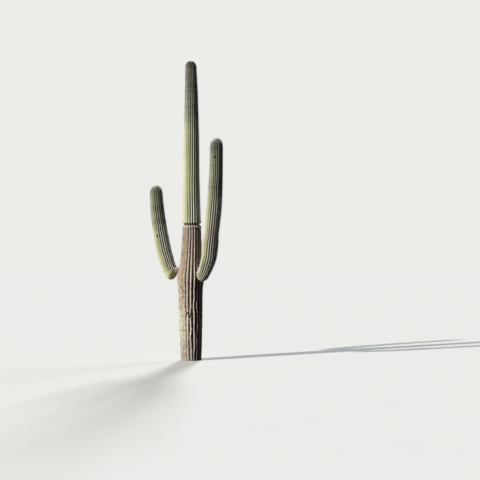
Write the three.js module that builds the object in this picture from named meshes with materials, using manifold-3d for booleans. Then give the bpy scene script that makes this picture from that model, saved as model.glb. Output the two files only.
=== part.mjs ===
// A saguaro cactus: one ribbed trunk with a frost waist, and two arms that turn up beside it.
// Millimetres, +Z up. The origin is the middle of the flat cut at ground level, and -Y faces the viewer.
import * as THREE from "three";
import { mergeVertices } from "three/addons/utils/BufferGeometryUtils.js";
import Module from "manifold-3d";

const wasm = await Module();
wasm.setup();

// Driving dimensions
const TRUNK_TOP = 7600;
const TRUNK_DOME = 150; // height of the rounded tip
const TRUNK_RIBS = 22;
const ARM_RIBS = 21;
const TRUNK_TURN = -4.5; // degrees from +X to the trunk's first rib
const RIB_DEPTH = 0.15; // depth of a groove, as a share of the radius over the crests
const SHOULDER = 0.3; // how far a rib's shoulder lies down its flank, from crest 0 to groove 1
const JOINT_GAP = 0.3; // clear space where two pieces meet
const TRUNK_GROWTH = 0.5; // added radius of the cutter that keeps the arms clear of the trunk's flanks

// The trunk's radius over the rib crests, by height
const TRUNK_GIRTH = [
  [0, 270],
  [800, 299],
  [1500, 315],
  [2540, 277],
  [3300, 243],
  [3600, 232],
  [4830, 204],
  [5590, 196],
  [6600, 171],
  [TRUNK_TOP - TRUNK_DOME, 138],
];
// The trunk swells where the arms leave it, and an old frost ring pinches it higher up.
const SWELLING = { z: 2090, height: 51, spread: 238 };
const WAIST = { z: 3447, depth: 42, spreadBelow: 48, spreadAbove: 27 };
// How far the trunk's middle wanders from the plumb line, by height
const TRUNK_LEAN_X = [
  [0, 0],
  [1900, -16],
  [3300, 17],
  [4200, 11],
  [6600, 7],
  [TRUNK_TOP, -10],
];
const TRUNK_LEAN_Y = [
  [0, 0],
  [1900, 8],
  [4200, -12],
  [TRUNK_TOP, 6],
];

// Each arm leaves the trunk level, as a thin neck. Its bend then fans round the crook, the inner corner, by
// stations of the slope above the level in degrees and the radius there. The upright above the bend follows
// stations by height.
const NECK_START = 220; // reach from the plumb line, inside the trunk
const CROOK_CLEAR = 6; // between the crook and the sections that fan round it
const ARM_DOME = 210; // height of the rounded tip
const ARMS = [
  {
    name: "left_arm",
    azimuth: 150,
    crook: { reach: 466, z: 2358 },
    bend: [
      [0, 76],
      [7, 108],
      [14, 146],
      [22, 174],
      [30, 186],
      [42, 184],
      [60, 177],
    ],
    split: 2450, // height at which the bend's piece ends and the upright's begins
    path: [
      [2432, 706],
      [2585, 764],
      [2790, 832],
      [3254, 938],
      [3564, 994],
      [3874, 1040],
      [4239, 1068],
      [4478, 1084],
    ],
    girth: [
      [2432, 185],
      [2585, 192],
      [2790, 195],
      [3254, 190],
      [3564, 185],
      [3874, 178],
      [4268, 163],
    ],
    top: 4478,
  },
  {
    name: "right_arm",
    azimuth: -50,
    crook: { reach: 372, z: 2303 },
    bend: [
      [0, 66],
      [8, 112],
      [16, 144],
      [28, 160],
      [40, 160],
      [52, 157],
    ],
    split: 2400,
    path: [
      [2450, 655],
      [2650, 737],
      [2920, 776],
      [3250, 836],
      [3793, 921],
      [4286, 981],
      [5000, 1022],
      [5353, 1029],
      [5588, 1025],
    ],
    girth: [
      [2450, 181],
      [2650, 198],
      [2920, 208],
      [3250, 184],
      [3793, 196],
      [4286, 181],
      [5000, 165],
      [5378, 158],
    ],
    top: 5588,
  },
];

// Row counts: enough to follow the outline, with close rows only where it turns
const TRUNK_ROWS = { below: 11, above: 12, dome: 4 };
const WAIST_ROWS = [-85, -42, 0, 24, 60]; // heights from the waist
const WAIST_REACH = { below: 175, above: 170 }; // where the plain rows of the trunk stop short of the waist
const ARM_ROWS = { shank: 4, upright: 9, dome: 4 };

const SKIN = { color: 0x8f9a6c, roughness: 0.8, metalness: 0 };
const ARM_SKIN = { color: 0x93a070, roughness: 0.78, metalness: 0 };

// Value at x of a smooth curve through stations, with no overshoot between them
function smooth(stations, x) {
  const last = stations.length - 1;
  if (x <= stations[0][0]) return stations[0][1];
  if (x >= stations[last][0]) return stations[last][1];
  const rise = (i) =>
    (stations[i + 1][1] - stations[i][1]) / (stations[i + 1][0] - stations[i][0]);
  const slope = (i) => {
    if (i === 0) return rise(0);
    if (i === last) return rise(last - 1);
    const before = rise(i - 1);
    const after = rise(i);
    return before * after <= 0 ? 0 : (2 * before * after) / (before + after);
  };
  const i = stations.findIndex((s, k) => k < last && x < stations[k + 1][0]);
  const width = stations[i + 1][0] - stations[i][0];
  const t = (x - stations[i][0]) / width;
  return (
    stations[i][1] * (1 + 2 * t) * (1 - t) ** 2 +
    width * slope(i) * t * (1 - t) ** 2 +
    stations[i + 1][1] * t * t * (3 - 2 * t) +
    width * slope(i + 1) * t * t * (t - 1)
  );
}

// Share of the full radius at a place in a rounded tip, from 0 where it begins to 1 at its top
const domeShare = (t) => Math.sqrt(Math.max(0, 1 - t * t));
const bell = (x, spread) => Math.exp(-((x / spread) ** 2));

// The outline of one cross-section: each rib has a crest, two shoulders and a groove.
function ribbedRing(centre, outward, sideways, radius, depth, ribs) {
  const falls = [0, SHOULDER, 1, SHOULDER];
  const count = ribs * falls.length;
  return Array.from({ length: count }, (_, i) => {
    const angle = (2 * Math.PI * i) / count;
    const r = radius - depth * falls[i % falls.length];
    return centre
      .clone()
      .addScaledVector(outward, r * Math.cos(angle))
      .addScaledVector(sideways, r * Math.sin(angle));
  });
}

// A closed mesh through rings of equal count. It starts with a flat cap and ends with a flat cap or at a tip.
function loft(rings, startCentre, endPoint) {
  const count = rings[0].length;
  const points = [...rings.flat(), startCentre, endPoint];
  const start = rings.length * count;
  const end = start + 1;
  const index = [];
  for (let i = 0; i < count; i++) {
    const j = (i + 1) % count;
    index.push(start, j, i);
    for (let row = 0; row < rings.length - 1; row++) {
      const a = row * count;
      const b = a + count;
      index.push(a + i, a + j, b + j, a + i, b + j, b + i);
    }
    const top = (rings.length - 1) * count;
    index.push(end, top + i, top + j);
  }
  const geometry = new THREE.BufferGeometry().setFromPoints(points);
  geometry.setIndex(index);
  return geometry;
}

function trunkRadius(z) {
  const fromWaist = z - WAIST.z;
  const spread = fromWaist > 0 ? WAIST.spreadAbove : WAIST.spreadBelow;
  const body =
    smooth(TRUNK_GIRTH, z) +
    SWELLING.height * bell(z - SWELLING.z, SWELLING.spread) -
    WAIST.depth * bell(fromWaist, spread);
  const intoDome = (z - (TRUNK_TOP - TRUNK_DOME)) / TRUNK_DOME;
  return body * domeShare(Math.max(0, intoDome));
}

const trunkCentre = (z) => new THREE.Vector3(smooth(TRUNK_LEAN_X, z), smooth(TRUNK_LEAN_Y, z), z);

// Places along a rounded tip, closer together towards its top
const domeSteps = (count) =>
  Array.from({ length: count }, (_, i) => Math.sin(((i + 1) / (count + 1)) * (Math.PI / 2)));

function evenly(from, to, count) {
  return Array.from({ length: count }, (_, i) => from + ((to - from) * i) / (count - 1));
}

function trunkGeometry(growth) {
  const domeFoot = TRUNK_TOP - TRUNK_DOME;
  const heights = [
    ...evenly(0, WAIST.z - WAIST_REACH.below, TRUNK_ROWS.below),
    ...WAIST_ROWS.map((dz) => WAIST.z + dz),
    ...evenly(WAIST.z + WAIST_REACH.above, domeFoot, TRUNK_ROWS.above),
    ...domeSteps(TRUNK_ROWS.dome).map((t) => domeFoot + TRUNK_DOME * t),
  ];
  const turn = THREE.MathUtils.degToRad(TRUNK_TURN);
  const outward = new THREE.Vector3(Math.cos(turn), Math.sin(turn), 0);
  const sideways = new THREE.Vector3(-Math.sin(turn), Math.cos(turn), 0);
  const rings = heights.map((z) => {
    const radius = trunkRadius(z);
    return ribbedRing(trunkCentre(z), outward, sideways, radius + growth, radius * RIB_DEPTH, TRUNK_RIBS);
  });
  return loft(rings, trunkCentre(0), trunkCentre(TRUNK_TOP));
}

// A place on an arm: the reach and height of its middle, the slope of its middle line and the radius there
function bendPlace(arm, [degrees, radius]) {
  const slope = THREE.MathUtils.degToRad(degrees);
  const lever = radius + CROOK_CLEAR;
  return {
    reach: arm.crook.reach + lever * Math.sin(slope),
    z: arm.crook.z - lever * Math.cos(slope),
    slope,
    radius,
  };
}

function uprightPlace(arm, z) {
  const foot = bendPlace(arm, arm.bend.at(-1));
  const path = [[foot.z, foot.reach], ...arm.path];
  const girth = [[foot.z, foot.radius], ...arm.girth];
  const intoDome = (z - (arm.top - ARM_DOME)) / ARM_DOME;
  return {
    reach: smooth(path, z),
    z,
    slope: Math.atan2(2, smooth(path, z + 1) - smooth(path, z - 1)),
    radius: smooth(girth, z) * domeShare(Math.max(0, intoDome)),
  };
}

function armCentre(arm, { reach, z }) {
  const azimuth = THREE.MathUtils.degToRad(arm.azimuth);
  return new THREE.Vector3(reach * Math.cos(azimuth), reach * Math.sin(azimuth), z);
}

function armRing(arm, place) {
  const azimuth = THREE.MathUtils.degToRad(arm.azimuth);
  const away = new THREE.Vector3(Math.cos(azimuth), Math.sin(azimuth), 0);
  const outward = away.clone().multiplyScalar(Math.sin(place.slope)).setZ(-Math.cos(place.slope));
  const sideways = new THREE.Vector3(-away.y, away.x, 0);
  const depth = place.radius * RIB_DEPTH;
  return ribbedRing(armCentre(arm, place), outward, sideways, place.radius, depth, ARM_RIBS);
}

function armLoft(arm, places, end) {
  const rings = places.map((place) => armRing(arm, place));
  return loft(rings, armCentre(arm, places[0]), armCentre(arm, end));
}

function bendGeometry(arm) {
  const fan = arm.bend.map((station) => bendPlace(arm, station));
  const shank = evenly(fan.at(-1).z, arm.split - JOINT_GAP, ARM_ROWS.shank).slice(1);
  const places = [{ ...fan[0], reach: NECK_START }, ...fan, ...shank.map((z) => uprightPlace(arm, z))];
  return armLoft(arm, places, places.at(-1));
}

function uprightGeometry(arm) {
  const domeFoot = arm.top - ARM_DOME;
  const heights = [
    ...evenly(arm.split, domeFoot, ARM_ROWS.upright),
    ...domeSteps(ARM_ROWS.dome).map((t) => domeFoot + ARM_DOME * t),
  ];
  const places = heights.map((z) => uprightPlace(arm, z));
  return armLoft(arm, places, uprightPlace(arm, arm.top));
}

function solidFrom(geometry) {
  const merged = mergeVertices(geometry, 1e-3);
  return new wasm.Manifold(
    new wasm.Mesh({
      numProp: 3,
      vertProperties: merged.attributes.position.array,
      triVerts: new Uint32Array(merged.index.array),
    }),
  );
}

function geometryFrom(solid) {
  const mesh = solid.getMesh();
  return new THREE.BufferGeometry()
    .setAttribute("position", new THREE.BufferAttribute(mesh.vertProperties, 3))
    .setIndex(new THREE.BufferAttribute(mesh.triVerts, 1));
}

function addPiece(group, name, geometry, look) {
  geometry.computeVertexNormals();
  const mesh = new THREE.Mesh(geometry, new THREE.MeshStandardMaterial(look));
  mesh.name = name;
  group.add(mesh);
}

const cactus = new THREE.Group();
addPiece(cactus, "trunk", trunkGeometry(0), SKIN);

const cutter = solidFrom(trunkGeometry(TRUNK_GROWTH));
for (const arm of ARMS) {
  const bend = solidFrom(bendGeometry(arm));
  addPiece(cactus, arm.name + "_bend", geometryFrom(bend.subtract(cutter)), ARM_SKIN);
  addPiece(cactus, arm.name, uprightGeometry(arm), ARM_SKIN);
}

export default cactus;
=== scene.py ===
# A saguaro cactus on a plain pale floor: ribbed skins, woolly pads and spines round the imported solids.
# Metres, +Z up. The origin is the middle of the flat cut under the trunk, and -Y faces the viewer.
import math

import bpy
import numpy as np
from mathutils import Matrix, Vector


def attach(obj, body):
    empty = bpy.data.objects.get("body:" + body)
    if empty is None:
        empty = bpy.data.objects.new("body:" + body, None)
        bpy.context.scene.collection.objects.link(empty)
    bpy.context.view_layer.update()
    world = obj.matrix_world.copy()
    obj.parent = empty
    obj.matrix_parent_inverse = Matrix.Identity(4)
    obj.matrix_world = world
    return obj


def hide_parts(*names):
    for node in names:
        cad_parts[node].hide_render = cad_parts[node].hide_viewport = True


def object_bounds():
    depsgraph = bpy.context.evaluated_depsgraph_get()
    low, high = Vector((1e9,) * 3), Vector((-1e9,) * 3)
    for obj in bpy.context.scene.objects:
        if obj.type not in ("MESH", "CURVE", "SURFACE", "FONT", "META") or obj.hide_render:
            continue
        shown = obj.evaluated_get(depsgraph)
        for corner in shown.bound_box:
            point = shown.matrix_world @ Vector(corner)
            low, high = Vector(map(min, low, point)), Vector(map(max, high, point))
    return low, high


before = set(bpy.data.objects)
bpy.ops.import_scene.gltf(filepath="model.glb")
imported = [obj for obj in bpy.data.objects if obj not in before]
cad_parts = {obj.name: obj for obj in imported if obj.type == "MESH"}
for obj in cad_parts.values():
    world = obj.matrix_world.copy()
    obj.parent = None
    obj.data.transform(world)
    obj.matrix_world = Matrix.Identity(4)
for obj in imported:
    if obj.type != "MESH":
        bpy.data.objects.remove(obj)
PACKED_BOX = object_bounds()

# Driving dimensions of the stems, as in the solids
TRUNK_TOP = 7.6
TRUNK_DOME = {"height": 0.15, "radius": 0.13}
TRUNK_RIBS = 22
ARM_DOME = {"height": 0.210, "radius": 0.15}
ARM_RIBS = 21
TRUNK_GIRTH = [
    (0, 0.270), (0.8, 0.299), (1.5, 0.315), (2.54, 0.277), (3.3, 0.243),
    (3.6, 0.232), (4.83, 0.204), (5.59, 0.196), (6.6, 0.171), (7.45, 0.138),
]
SWELLING = {"z": 2.09, "height": 0.051, "spread": 0.238}
TRUNK_LEAN_X = [(0, 0), (1.9, -0.016), (3.3, 0.017), (4.2, 0.011), (6.6, 0.007), (7.6, -0.010)]
TRUNK_LEAN_Y = [(0, 0), (1.9, 0.008), (4.2, -0.012), (7.6, 0.006)]
# Each arm leaves the trunk as a level neck and fans round its crook, by slope in degrees. Its upright follows
# stations by height. Its bend gets painted sunlight in place of painted shade, as if it faced the sun, by the
# share that is given.
NECK_START = 0.220
CROOK_CLEAR = 0.006
ARM_SECTIONS = {"neck": 100, "bend": 400, "upright": 2000}
ARMS = {
    "left_arm": {
        "azimuth": 150,
        "pale_bend": 0.85,
        "crook": (0.466, 2.358),
        "bend": [(0, 0.076), (7, 0.108), (14, 0.146), (22, 0.174), (30, 0.186), (42, 0.184), (60, 0.177)],
        "path": [
            (2.432, 0.706), (2.585, 0.764), (2.790, 0.832), (3.254, 0.938),
            (3.564, 0.994), (3.874, 1.040), (4.239, 1.068), (4.478, 1.084),
        ],
        "girth": [
            (2.432, 0.185), (2.585, 0.192), (2.790, 0.195), (3.254, 0.190),
            (3.564, 0.185), (3.874, 0.178), (4.268, 0.163),
        ],
    },
    "right_arm": {
        "azimuth": -50,
        "pale_bend": 0.45,
        "crook": (0.372, 2.303),
        "bend": [(0, 0.066), (8, 0.112), (16, 0.144), (28, 0.160), (40, 0.160), (52, 0.157)],
        "path": [
            (2.450, 0.655), (2.650, 0.737), (2.920, 0.776), (3.250, 0.836), (3.793, 0.921),
            (4.286, 0.981), (5.000, 1.022), (5.353, 1.029), (5.588, 1.025),
        ],
        "girth": [
            (2.450, 0.181), (2.650, 0.198), (2.920, 0.208), (3.250, 0.184),
            (3.793, 0.196), (4.286, 0.181), (5.000, 0.165), (5.378, 0.158),
        ],
    },
}

# The frost ring: a pinch with a lip and a band of callus below it and above it, and painted shade in the
# pinch
WAIST = {"z": 3.447, "depth": 0.042, "below": 0.028, "above": 0.019}
WAIST_LIPS = [
    {"over": 0.062, "rise": 0.007, "spread": 0.024},
    {"over": -0.078, "rise": 0.009, "spread": 0.030},
]
WAIST_SCARS = [
    {"over": -0.066, "strength": 0.80, "spread": 0.028},
    {"over": 0.050, "strength": 0.45, "spread": 0.022},
]
# Painted shade in the ring's pinch
WAIST_DARK = {"strength": 0.8, "spread": 0.022}
WAIST_STEP = {"finer": 0.5, "spread": 0.07}  # the mesh's rows crowd there

# The visible skin lies inside the solids, so that the pads and spines stay about their outline.
SKIN_INSET = 0.008
TIP_INSET = 0.024

# Degrees from +X to the trunk's first rib. It drifts with height and jumps at the frost ring.
TRUNK_TURN = [(0, -4.5), (1.5, -4.5), (3.40, -2.2), (3.47, -7.6), (5.0, -7), (7.6, -5)]

# Spacing of the mesh's rows. Every third row carries a pad, so their spacing follows it.
TRUNK_STEP = [(0, 0.0112), (3.3, 0.0104), (3.6, 0.0092), (6.5, 0.0082), (7.3, 0.0064), (7.6, 0.0050)]
# By share of the arm's length
ARM_STEP = [(0, 0.0062), (0.17, 0.0062), (0.25, 0.0088), (0.75, 0.0088), (0.94, 0.0064), (1, 0.0050)]
PAD_EVERY = 3
# A column's place between a crest, 0, and the grooves beside it, 1 and -1
RIB_COLUMNS = np.array([0, 0.30, 0.58, 0.82, 1, -0.82, -0.58, -0.30])

# Grooves, as shares of the radius over the crests: shallow towards the sun and deep away from it
# The side that faces the sun: colour is painted lit towards it and shaded away from it, and the grooves
# follow it too
SUNNY_SIDE = -75  # degrees from the viewer's side towards +X
RIB_DEPTH = 0.20
DEPTH_SUNNY, DEPTH_ADDED = 0.42, 0.78  # the second is added in the shade
DEPTH_UNEVEN = 0.12
DEPTH_STARK = 0.30  # added where the stripes are stark
DEPTH_LOST = {"waist": 0.4, "spread": 0.045, "foot": 0.30}  # about the waist, and at the ground
GROOVE_POWER, CORK_POWER = 1.35, 0.9  # a greater power gives broader crests and narrower grooves
RIB_WANDER, FOOT_WAVER = 0.10, 0.22  # of a rib's width
DASH_LENGTH = 0.078

# Small relief of the skin: the girth by shares of the radius, and the rest in metres
GIRTH_UNEVEN, GIRTH_LUMPS = 0.007, 0.006
PAD_SWELL, PAD_DIP = 0.0024, -0.0012
BARK_FINE, BARK_COARSE = 0.0035, 0.0030
GRAIN_SIZE = 0.0010
WANDER_ENDS, RELIEF_ENDS = 0.5, 0.2  # lengths below the tip over which they die away

# Where the looks of the trunk change, each between two heights. A number before them is its strength.
CORK_FADES = (-0.10, 0.10)  # about the waist
SCORCH = {"strength": 0.55, "patches": (0.35, 0.9), "fades": (3.5, 4.6)}  # its patches lie by noise
STRAW_FADES = [(0.55, 1.14, 1.46), (0.45, 1.75, 2.15)]
# Painted shade: the pale straw ends lower on the side away from the sun
STRAW_LOWER_IN_SHADE = 0.9  # the straw ends lower on the shaded side by this much
FOOT_DUST_FADES = (0.1, 0.8)
WAIST_DUST = (0.6, 2.75, 3.20)
TRUNK_BLEACH_FADES = (3.9, 6.2)
TRUNK_ASH, TRUNK_TIP_ASH = (0.55, 5.8, 6.3), (0.45, 6.6, 7.0)
# Where the trunk's stripes are stark: a white painted highlight on the crests and black painted shade in the
# grooves, over deeper ribs
TRUNK_STARK = {"z": 3.80, "spread": 0.26}
TRUNK_BRIGHT = {"z": 3.9, "spread": 0.6}
WAVER_FADES = (1.2, 2.3)
FOOT_DEEPENS = (0.1, 0.9)
TRUNK_WOOL = (0.12, 0.02, 0.06)  # below the tip
RAGGED = {"cork": 0.04, "straw": 0.22, "foot_dust": 0.2, "waist_dust": 0.1, "bleach": 0.3, "ash": 0.2}
# The same for the arms, by share of their length
ROOT_FADES = (-0.070, -0.015)  # metres past the neck
ARM_BLEACH_FADES = (0.12, 0.45)
ARM_ASH, ARM_TIP_ASH = (0.45, 0.50, 0.70), (0.50, 0.84, 0.97)
# Where the arms' stripes are stark, painted with highlight and shade as on the trunk
ARM_STARK_FADES = (0.55, 0.80)
# The bend's painted sunlight fades out between these shares of the arm's length
SUNLIT_BEND_FADES = (0.08, 0.20)
BLUSH_PATCH = {"share": 0.38, "spread": 0.09}
STARK_BEND = {"share": 0.12, "spread": 0.06}
ARM_WOOL = (0.80, 0.02, 0.07)  # metres below the tip
# Painted shade: the white wool reaches less far on the side away from the sun
WOOL_SHORTER_IN_SHADE = 0.03  # on the shaded side
ARM_RAGGED = {"root": 0.02, "bleach": 0.04, "ash": 0.03, "wool": 0.02}
# The shade over which a look comes, where 0 faces the sun and 1 faces away. All but DEPTH_SHADE paint light
# and shade into the colour.
STRAW_SHADE, WOOL_SHADE, DEPTH_SHADE = (0.12, 0.60), (0.0, 0.5), (0.12, 0.48)
TRUNK_STARK_SHADE, ARM_STARK_SHADE = (0.10, 0.26), (0.15, 0.30)

# Old wounds: height, direction in degrees from the viewer's side towards +X, and size
TRUNK_HOLES = [
    {"z": 1.20, "facing": -9, "width": 0.030, "height": 0.036, "depth": 0.060, "callus": 1.0},
    {"z": 1.12, "facing": -1, "width": 0.020, "height": 0.050, "depth": 0.040, "callus": 1.0},
    {"z": 5.08, "facing": 45, "width": 0.020, "height": 0.030, "depth": 0.045, "callus": 1.0},
    {"z": 4.35, "facing": 160, "width": 0.026, "height": 0.034, "depth": 0.060, "callus": 1.0},
]
ARM_HOLES = {
    "left_arm": [{"z": 3.145, "facing": -30, "width": 0.028, "height": 0.038, "depth": 0.035, "callus": 0.1}],
    "right_arm": [{"z": 5.09, "facing": -17, "width": 0.028, "height": 0.032, "depth": 0.035, "callus": 0.1}],
}
# A hole runs outwards by shares of its size: a pit with painted shade in it, and a lip with callus on it.
HOLE_PIT, HOLE_DARK = (0.55, 1.15), (0.6, 1.05)
HOLE_LIP = {"over": 1.35, "rise": 0.008, "spread": 0.35}
HOLE_CALLUS = {"over": 1.2, "spread": 0.6}
TRUNK_KNOBS = [{"z": 5.24, "facing": -88, "width": 0.060, "height": 0.080, "rise": 0.018}]
KNOB_SPREAD = 0.9
KNOB_CALLUS = {"strength": 0.7, "spread": 0.8}
# Cracks reach round the trunk by degrees to each side, and one falls by its slope in metres to a degree.
# Their dark is painted shade in the crack.
TRUNK_CRACKS = [
    {"z": 0.76, "facing": -46, "reach": 26, "tall": 0.010, "depth": 0.012, "dark": 0.7, "slope": 0},
    {"z": 1.27, "facing": -15, "reach": 50, "tall": 0.010, "depth": 0.004, "dark": 0.0, "slope": 0},
    {"z": 1.85, "facing": -50, "reach": 17, "tall": 0.024, "depth": 0.012, "dark": 0.8, "slope": -0.0064},
    {"z": 0.42, "facing": 60, "reach": 20, "tall": 0.008, "depth": 0.010, "dark": 0.5, "slope": 0},
    {"z": 1.02, "facing": 150, "reach": 24, "tall": 0.008, "depth": 0.010, "dark": 0.5, "slope": 0},
    {"z": 2.62, "facing": 205, "reach": 18, "tall": 0.006, "depth": 0.008, "dark": 0.4, "slope": 0},
]
CRACK_WAVES = [(0.010, 9), (0.006, 23)]  # size, and waves to a full turn
CRACK_ENDS = (0.7, 1.0)  # by share of their reach
CRACK_CALLUS = {"strength": 0.6, "wider": 2.5}
# Painted shade on the arms' corky roots, as a share of the shade painted in a hole
ROOT_DARK = 0.35  # of a hollow's dark, on the arms' corky roots

# Pads and spines. Angles are from the pad's own outward direction.
PAD = {"length": 0.0105, "rise": 0.30}
WORN_PAD = {"length": 0.0165, "rise": 0.10}
PAD_SIDES = 5
PAD_SIZES = (0.8, 1.2)
PAD_SHAPE = {"lift": 0.1, "half_length": 0.5, "half_width": 0.36, "sunk": 0.40}  # shares of its length
PAD_ROOM = {"across": 0.013, "along": 0.014, "least": 0.15}  # where crests crowd, fewer pads are kept
STRAW_BARE = 0.80  # share of the pads that the straw-pale bark has lost
HOLE_BARE = 0.3  # pads grow where the hollow is less than this
# Pads in a dash's gap on the shaded side are dimmed as painted shade; those where the stripes are stark are
# whitened as a painted highlight
PAD_LIMITS = {"cork": 0.5, "stark": 0.5, "grey": 0.30, "gap": 0.5, "shady": 0.28}  # where their look changes
RADIAL = {"count": 9, "tilt": (50, 80), "length": (0.012, 0.022), "width": 0.0014}
CENTRAL = {"count": 3, "tilt": (10, 45), "length": (0.020, 0.036), "width": 0.0018}
WORN = {"count": 4, "tilt": (25, 75), "length": (0.010, 0.020), "width": 0.0016}
BRISTLE = {"count": 14, "tilt": (8, 60), "length": (0.014, 0.028), "width": 0.0018}
SPINE_SIDES = 3
SPINE_JITTER = 0.4  # of the turn between two neighbours
SPINE_ROOT = {"out": 0.0012, "sunk": 0.002}
YOUNG_LONGER = {"share": 0.25, "spread": 0.5}
CORKY_SHORTER = 0.45
CROWN = 0.12  # height of the woolly cap at each tip

SEEDS = {"trunk": 11, "left_arm": 23, "right_arm": 37}

# The camera stands 30 m off at the height of the photograph's middle row, and looks level along +Y.
CAMERA_PLACE = (1.2395, -30.0, 3.048)
CAMERA_LENS = 88.58
SENSOR = 36.0
FAR_CLIP = 500
FLOOR_HALF = 120.0
# Soft lights, by degrees from the viewer's side towards +X and above the level
WARM_LIGHT, COOL_LIGHT = (1.0, 0.97, 0.92), (0.92, 0.95, 1.0)
SUNS = [
    {"name": "key", "azimuth": -58, "elevation": 23, "strength": 5.4, "angle": 1.5, "color": WARM_LIGHT},
    {"name": "back", "azimuth": 172, "elevation": 24, "strength": 4.0, "angle": 10, "color": COOL_LIGHT},
    {"name": "side", "azimuth": 132, "elevation": 20, "strength": 1.25, "angle": 25, "color": COOL_LIGHT},
]
EVEN_LIGHT = 0.040


def srgb(red, green, blue):
    """A linear colour from 8-bit screen values."""
    def linear(value):
        share = value / 255
        return share / 12.92 if share <= 0.04045 else ((share + 0.055) / 1.055) ** 2.4
    return (linear(red), linear(green), linear(blue), 1.0)


# Curves and noise

def smooth(stations, x):
    """Values at x of a smooth curve through stations, with no overshoot between them."""
    xs, ys = np.array(stations, float).T
    x = np.clip(np.asarray(x, float), xs[0], xs[-1])
    rise = np.diff(ys) / np.diff(xs)
    product = rise[:-1] * rise[1:]
    total = np.where(product > 0, rise[:-1] + rise[1:], 1)
    inner = np.where(product > 0, 2 * product / total, 0)
    slope = np.concatenate([rise[:1], inner, rise[-1:]])
    i = np.clip(np.searchsorted(xs, x, side="right") - 1, 0, len(xs) - 2)
    width = xs[i + 1] - xs[i]
    t = (x - xs[i]) / width
    start = ys[i] * (1 + 2 * t) * (1 - t) ** 2 + width * slope[i] * t * (1 - t) ** 2
    end = ys[i + 1] * t * t * (3 - 2 * t) + width * slope[i + 1] * t * t * (t - 1)
    return start + end


def ease(low, high, x):
    """A smooth step from 0 at low to 1 at high."""
    t = np.clip((x - low) / (high - low), 0, 1)
    return t * t * (3 - 2 * t)


def comes(share, low, high, x):
    """A smooth step up to a share at high."""
    return share * ease(low, high, x)


def fades(share, low, high, x):
    """A smooth step down from a share at low."""
    return share * (1 - ease(low, high, x))


def bell(x, spread):
    return np.exp(-((x / spread) ** 2))


def wrap(degrees):
    return (degrees + 180) % 360 - 180


def noise(rng, around, along, cells_around, cells_along):
    """Smooth noise from -1 to 1, by cells round the stem and cells to a metre along it. around runs from 0
    to 1 and meets itself."""
    along = along - along.min()
    v = along * cells_along
    grid = rng.uniform(-1, 1, (cells_around, int(v.max()) + 3))
    u = (around % 1) * cells_around
    iu, iv = np.floor(u).astype(int) % cells_around, np.floor(v).astype(int)
    fu, fv = u - np.floor(u), v - np.floor(v)
    fu, fv = fu * fu * (3 - 2 * fu), fv * fv * (3 - 2 * fv)
    ju = (iu + 1) % cells_around
    near = grid[iu, iv] * (1 - fu) + grid[ju, iv] * fu
    far = grid[iu, iv + 1] * (1 - fu) + grid[ju, iv + 1] * fu
    return near * (1 - fv) + far * fv


# Stems: each is a middle line with two directions across it, and a radius over the crests

def rows_by_step(length, step_at, dome):
    """Places along a stem: even steps up to the rounded tip, then even turns over it."""
    foot = length - dome["height"]
    rows = [0.0]
    while rows[-1] < foot:
        rows.append(rows[-1] + step_at(rows[-1]))
    rows[-1] = foot
    quarter = 0.5 * math.pi
    count = int(quarter * dome["radius"] / step_at(length))
    turns = (np.arange(1, count) / count) * quarter
    return np.concatenate([rows, foot + dome["height"] * np.sin(turns)])


def dome_share(s, length, height):
    """1 along a stem, and falling to 0 as a quarter circle over the last height below its tip."""
    into = np.clip((s - (length - height)) / height, 0, 1)
    return np.sqrt(1 - into**2)


def trunk_radius(z, length):
    over = z - WAIST["z"]
    spread = np.where(over > 0, WAIST["above"], WAIST["below"])
    body = smooth(TRUNK_GIRTH, z) + SWELLING["height"] * bell(z - SWELLING["z"], SWELLING["spread"])
    pinch = WAIST["depth"] * bell(over, spread)
    lips = sum(lip["rise"] * bell(over - lip["over"], lip["spread"]) for lip in WAIST_LIPS)
    return (body - SKIN_INSET - pinch + lips) * dome_share(z, length, TRUNK_DOME["height"])


def trunk_stem():
    length = TRUNK_TOP - TIP_INSET
    def step(z):
        crowding = WAIST_STEP["finer"] * float(bell(z - WAIST["z"], WAIST_STEP["spread"]))
        return float(smooth(TRUNK_STEP, z)) * (1 - crowding)
    z = rows_by_step(length, step, TRUNK_DOME)
    turn = np.radians(smooth(TRUNK_TURN, z))
    zero = np.zeros_like(z)
    return {
        "name": "trunk",
        "s": z,
        "length": length,
        "centre": np.stack([smooth(TRUNK_LEAN_X, z), smooth(TRUNK_LEAN_Y, z), z], 1),
        "outward": np.stack([np.cos(turn), np.sin(turn), zero], 1),
        "sideways": np.stack([-np.sin(turn), np.cos(turn), zero], 1),
        "tip": np.array([TRUNK_LEAN_X[-1][1], TRUNK_LEAN_Y[-1][1], length]),
        "radius": trunk_radius(z, length),
        "ribs": TRUNK_RIBS,
    }


def arm_sections(arm):
    """Reach from the plumb line, height, slope and radius, close together along an arm's middle line."""
    degrees = np.linspace(0, arm["bend"][-1][0], ARM_SECTIONS["bend"])
    slope = np.radians(degrees)
    radius = smooth(arm["bend"], degrees)
    lever = radius + CROOK_CLEAR
    reach = arm["crook"][0] + lever * np.sin(slope)
    height = arm["crook"][1] - lever * np.cos(slope)
    neck = np.linspace(NECK_START, reach[0], ARM_SECTIONS["neck"])[:-1]
    path = [(height[-1], reach[-1]), *arm["path"]]
    girth = [(height[-1], radius[-1]), *arm["girth"]]
    above = np.linspace(height[-1], arm["path"][-1][0], ARM_SECTIONS["upright"])[1:]
    away = smooth(path, above)
    return (
        np.concatenate([neck, reach, away]),
        np.concatenate([np.full_like(neck, height[0]), height, above]),
        np.concatenate([np.zeros_like(neck), slope, np.arctan2(1, np.gradient(away, above))]),
        np.concatenate([np.full_like(neck, radius[0]), radius, smooth(girth, above)]),
    )


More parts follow.
